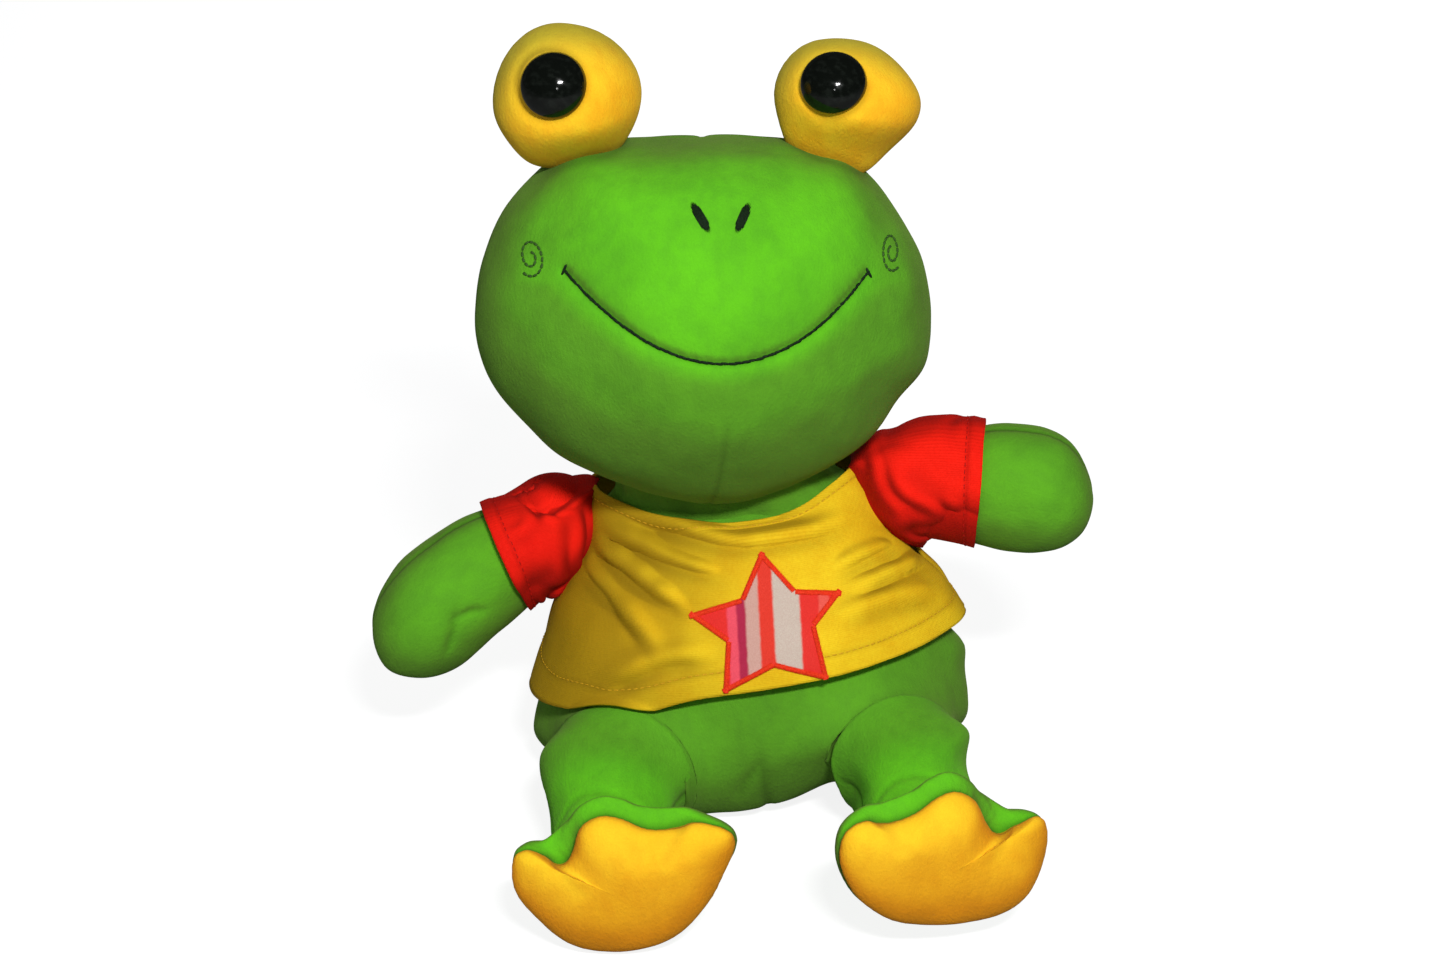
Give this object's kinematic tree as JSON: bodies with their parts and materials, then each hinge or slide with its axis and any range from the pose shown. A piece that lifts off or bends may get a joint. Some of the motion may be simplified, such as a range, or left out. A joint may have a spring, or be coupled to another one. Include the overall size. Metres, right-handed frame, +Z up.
{
  "type": "plush frog",
  "caption": "Seated stuffed frog with bulging eyes, short-sleeved T-shirt, stretched legs and padded webbed feet; head, eyes, arms, legs and feet bend at their seams.",
  "frame": {"origin": "on the floor, under the middle of the seat", "axes": "+Z up, -Y the way the frog faces, +X towards the frog's own left side"},
  "size_m": [0.2943, 0.2292, 0.3164],
  "materials": {
    "green_plush": "short pile plush",
    "yellow_plush": "short pile plush",
    "yellow_jersey": "knitted jersey",
    "red_jersey": "knitted jersey",
    "thread": "satin embroidery thread",
    "fibre": "loose polyester fibre",
    "black_plastic": "polished",
    "clear_plastic": "moulded",
    "badge_print": "printed cloth, striped",
    "badge_border": "satin stitch"
  },
  "bodies": {
    "torso": {"torso_cover": "green_plush", "torso_stuffing": "fibre", "shirt_front": "yellow_jersey", "shirt_back": "yellow_jersey", "star_badge": "badge_print", "star_border": "badge_border"},
    "neck": {"neck_ball": "green_plush"},
    "head": {"head_cover": "green_plush", "head_stuffing": "fibre", "mouth_stitching": "thread", "nostril_left": "thread", "nostril_right": "thread", "cheek_swirl_left": "thread", "cheek_swirl_right": "thread"},
    "eye_left": {"eye_bulb_left_cover": "yellow_plush", "eye_bulb_left_stuffing": "fibre", "safety_eye_left": "black_plastic", "eye_washer_left": "clear_plastic"},
    "arm_left": {"arm_left_cover": "green_plush", "arm_left_stuffing": "fibre", "sleeve_left": "red_jersey"},
    "leg_left": {"leg_left_cover": "green_plush", "leg_left_stuffing": "fibre"},
    "foot_left": {"foot_upper_left": "green_plush", "foot_sole_left": "yellow_plush", "foot_stuffing_left": "fibre"},
    "eye_right": {"eye_bulb_right_cover": "yellow_plush", "eye_bulb_right_stuffing": "fibre", "safety_eye_right": "black_plastic", "eye_washer_right": "clear_plastic"},
    "arm_right": {"arm_right_cover": "green_plush", "arm_right_stuffing": "fibre", "sleeve_right": "red_jersey"},
    "leg_right": {"leg_right_cover": "green_plush", "leg_right_stuffing": "fibre"},
    "foot_right": {"foot_upper_right": "green_plush", "foot_sole_right": "yellow_plush", "foot_stuffing_right": "fibre"}
  },
  "joints": [
    {"name": "neck_turn", "type": "hinge", "parent": "torso", "child": "neck", "pos_m": [-0.01119, 0.02034, 0.12741], "axis": [-0.0861, 0.1564, 0.9839], "range_deg": [-12, 14], "stiffness_Nm_per_rad": 0.5},
    {"name": "head_nod", "type": "hinge", "parent": "neck", "child": "head", "pos_m": [-0.01119, 0.02034, 0.12741], "axis": [0.9902, 0.13, -0.0515], "range_deg": [-8, 8], "stiffness_Nm_per_rad": 1.2},
    {"name": "eye_tilt_left", "type": "hinge", "parent": "head", "child": "eye_left", "pos_m": [0.03003, 0.02685, 0.2691], "axis": [0.9703, 0.0969, -0.2215], "range_deg": [-10, 10], "stiffness_Nm_per_rad": 0.1},
    {"name": "shoulder_raise_left", "type": "hinge", "parent": "torso", "child": "arm_left", "pos_m": [0.05971, 0.01851, 0.12202], "axis": [-0.1045, -0.9945, 0], "range_deg": [-15, 20], "stiffness_Nm_per_rad": 0.3, "deforming": ["sleeve_left"]},
    {"name": "hip_raise_left", "type": "hinge", "parent": "torso", "child": "leg_left", "pos_m": [0.06, -0.062, 0.03], "axis": [-0.9976, -0.0698, 0], "range_deg": [-8, 20], "stiffness_Nm_per_rad": 0.6},
    {"name": "ankle_flex_left", "type": "hinge", "parent": "leg_left", "child": "foot_left", "pos_m": [0.06349, -0.11187, 0.03087], "axis": [0.9563, 0.2924, 0], "range_deg": [-18, 18], "stiffness_Nm_per_rad": 0.2},
    {"name": "eye_tilt_right", "type": "hinge", "parent": "head", "child": "eye_right", "pos_m": [-0.07115, 0.01328, 0.27378], "axis": [0.9799, 0.1591, 0.12], "range_deg": [-10, 10], "stiffness_Nm_per_rad": 0.1},
    {"name": "shoulder_raise_right", "type": "hinge", "parent": "torso", "child": "arm_right", "pos_m": [-0.08379, 0.01775, 0.10466], "axis": [-0.2079, 0.9781, 0], "range_deg": [-6, 35], "stiffness_Nm_per_rad": 0.3, "deforming": ["sleeve_right"]},
    {"name": "hip_raise_right", "type": "hinge", "parent": "torso", "child": "leg_right", "pos_m": [-0.06, -0.062, 0.026], "axis": [-1, 0, 0], "range_deg": [-8, 20], "stiffness_Nm_per_rad": 0.6},
    {"name": "ankle_flex_right", "type": "hinge", "parent": "leg_right", "child": "foot_right", "pos_m": [-0.06, -0.11193, 0.02338], "axis": [1, 0, 0], "range_deg": [-18, 18], "stiffness_Nm_per_rad": 0.2}
  ]
}
